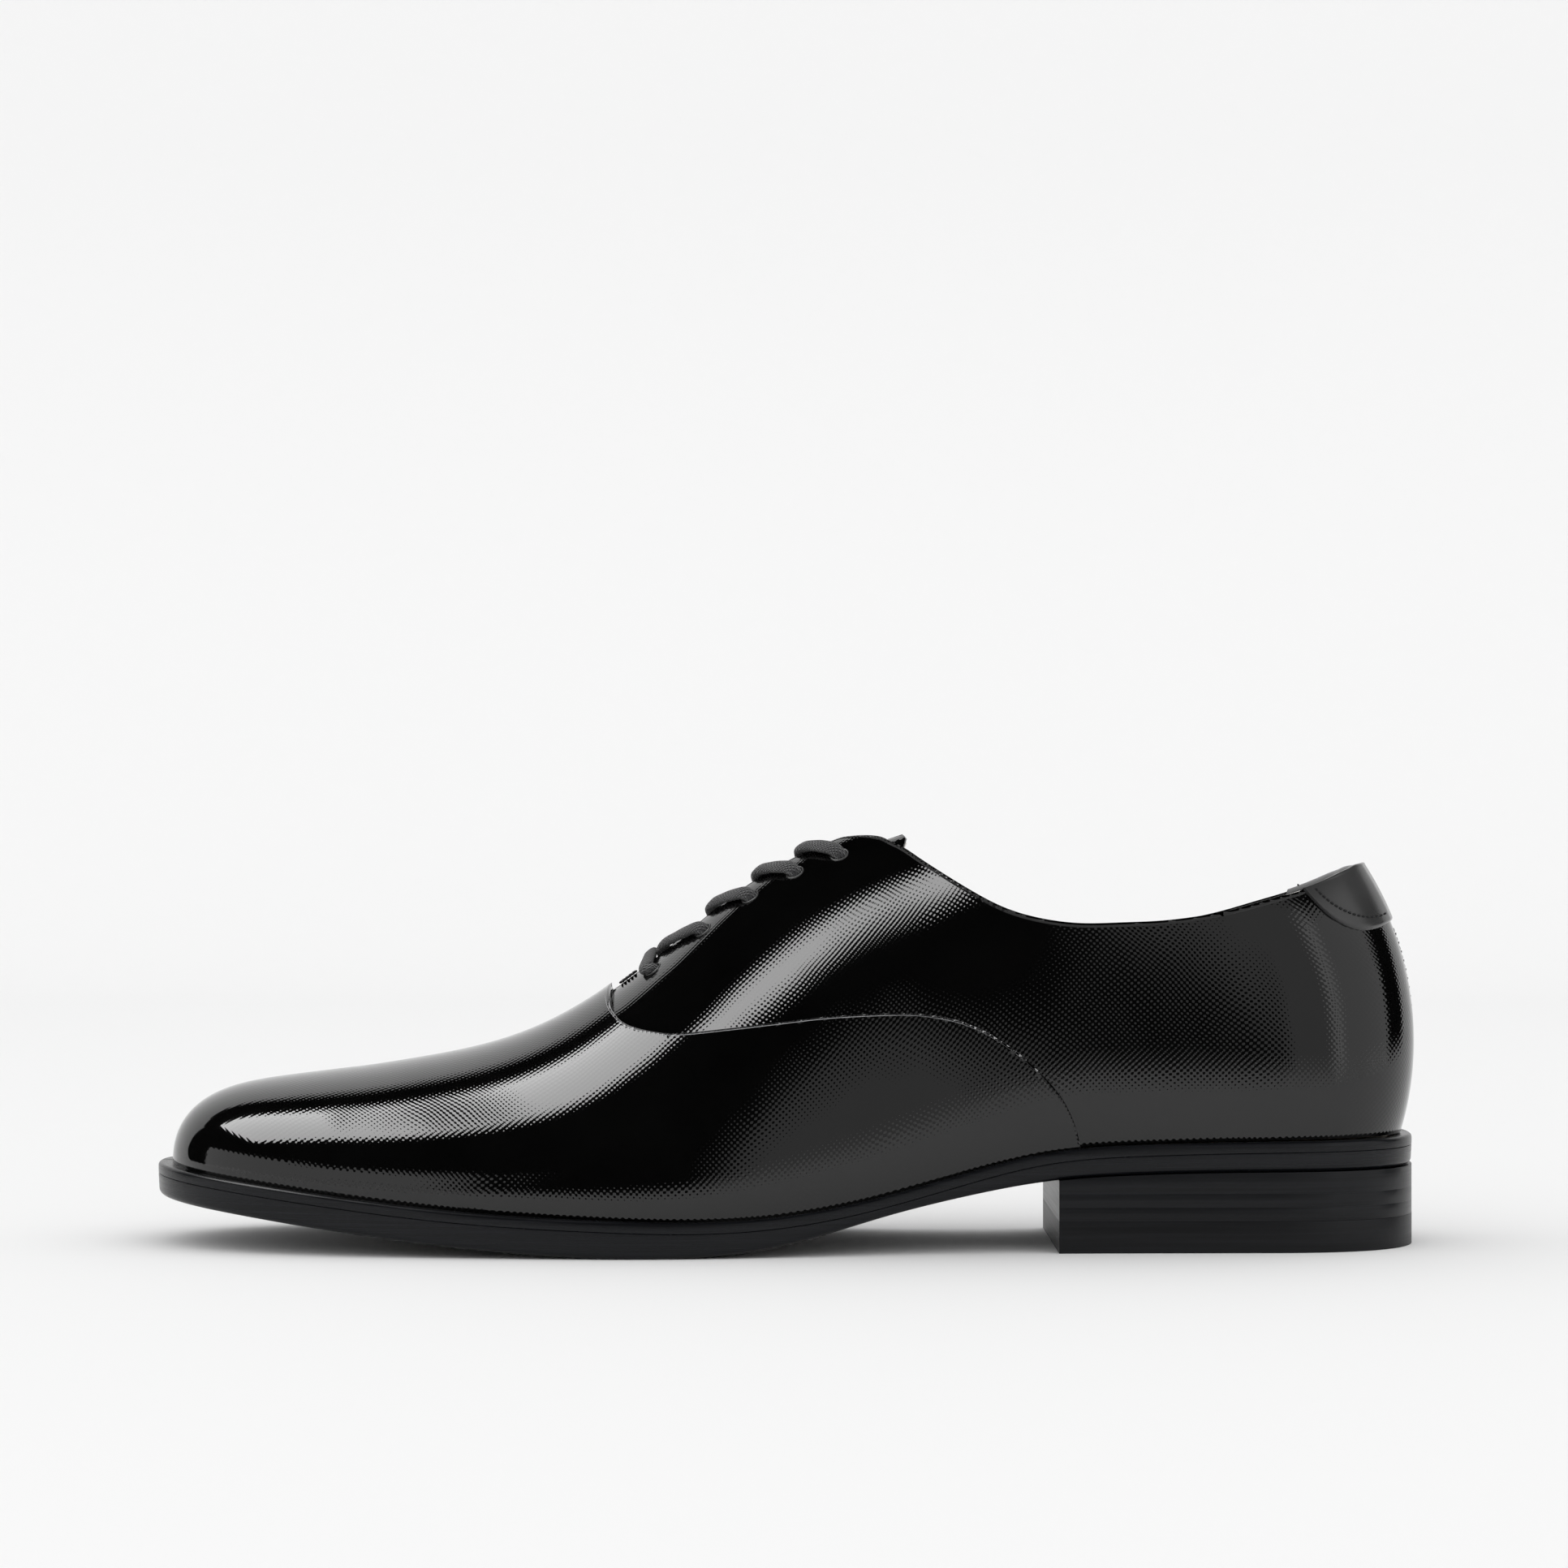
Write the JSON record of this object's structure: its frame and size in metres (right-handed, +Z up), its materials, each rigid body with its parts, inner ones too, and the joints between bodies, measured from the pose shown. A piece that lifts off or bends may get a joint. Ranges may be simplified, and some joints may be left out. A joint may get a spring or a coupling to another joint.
{
  "type": "leather oxford shoe",
  "caption": "Black leather plain-toe oxford shoe for the left foot, closed lacing, embossed upper, leather sole and stacked block heel.",
  "frame": {"origin": "middle of the shoe's outline in plan, on the floor", "axes": "+X from toe to heel, +Y from the outer side to the inner side, +Z up"},
  "size_m": [0.3046, 0.1024, 0.1],
  "materials": {
    "upper_leather": "glossy embossed black calf",
    "patch_leather": "glossy smooth black calf",
    "lining_leather": "matt ivory lining leather",
    "sock_leather": "matt ivory sock leather",
    "grip_suede": "suede, flesh side out",
    "stiffener_board": "pressed fibre board",
    "stay_fabric": "woven cotton tape and drill",
    "lace_cotton": "flat braided waxed cotton",
    "aglet_film": "black rolled film",
    "eyelet_brass": "plain brass, hidden",
    "sole_edge": "black satin edge dressing",
    "heel_stack": "black satin edge dressing on stacked layers",
    "top_lift_rubber": "satin black rubber",
    "cork": "cork granulate",
    "spring_steel": "bare spring steel",
    "nail_steel": "bare wire"
  },
  "bodies": {
    "shoe": {"vamp": "upper_leather", "quarter_lateral": "upper_leather", "quarter_medial": "upper_leather", "heel_tab": "patch_leather", "vamp_lining": "lining_leather", "quarter_lining_lateral": "lining_leather", "quarter_lining_medial": "lining_leather", "sock_liner": "sock_leather", "heel_pad": "sock_leather", "heel_grip": "grip_suede", "toe_puff": "stiffener_board", "heel_counter": "stiffener_board", "insole_board": "stiffener_board", "facing_stay_lateral": "stay_fabric", "facing_stay_medial": "stay_fabric", "vamp_interlining": "stay_fabric", "lace": "lace_cotton", "lace_end_lateral": "lace_cotton", "lace_end_medial": "lace_cotton", "aglet_lateral": "aglet_film", "aglet_medial": "aglet_film", "eyelet_lateral_1": "eyelet_brass", "eyelet_lateral_2": "eyelet_brass", "eyelet_lateral_3": "eyelet_brass", "eyelet_lateral_4": "eyelet_brass", "eyelet_lateral_5": "eyelet_brass", "eyelet_medial_1": "eyelet_brass", "eyelet_medial_2": "eyelet_brass", "eyelet_medial_3": "eyelet_brass", "eyelet_medial_4": "eyelet_brass", "eyelet_medial_5": "eyelet_brass", "welt": "sole_edge", "outsole": "sole_edge", "heel_lift_1": "heel_stack", "heel_lift_2": "heel_stack", "heel_lift_3": "heel_stack", "top_lift": "top_lift_rubber", "bottom_filler": "cork", "shank": "spring_steel", "heel_nail_1": "nail_steel", "heel_nail_2": "nail_steel", "heel_nail_3": "nail_steel", "heel_nail_4": "nail_steel", "heel_nail_5": "nail_steel"},
    "tongue": {"tongue": "upper_leather", "tongue_lining": "lining_leather"}
  },
  "joints": [
    {"name": "tongue_flex", "type": "hinge", "parent": "shoe", "child": "tongue", "pos_m": [-0.0431, 0.0026, 0.0505], "axis": [0, 1, 0], "range_deg": [0, 12], "stiffness_Nm_per_rad": 0.05}
  ]
}
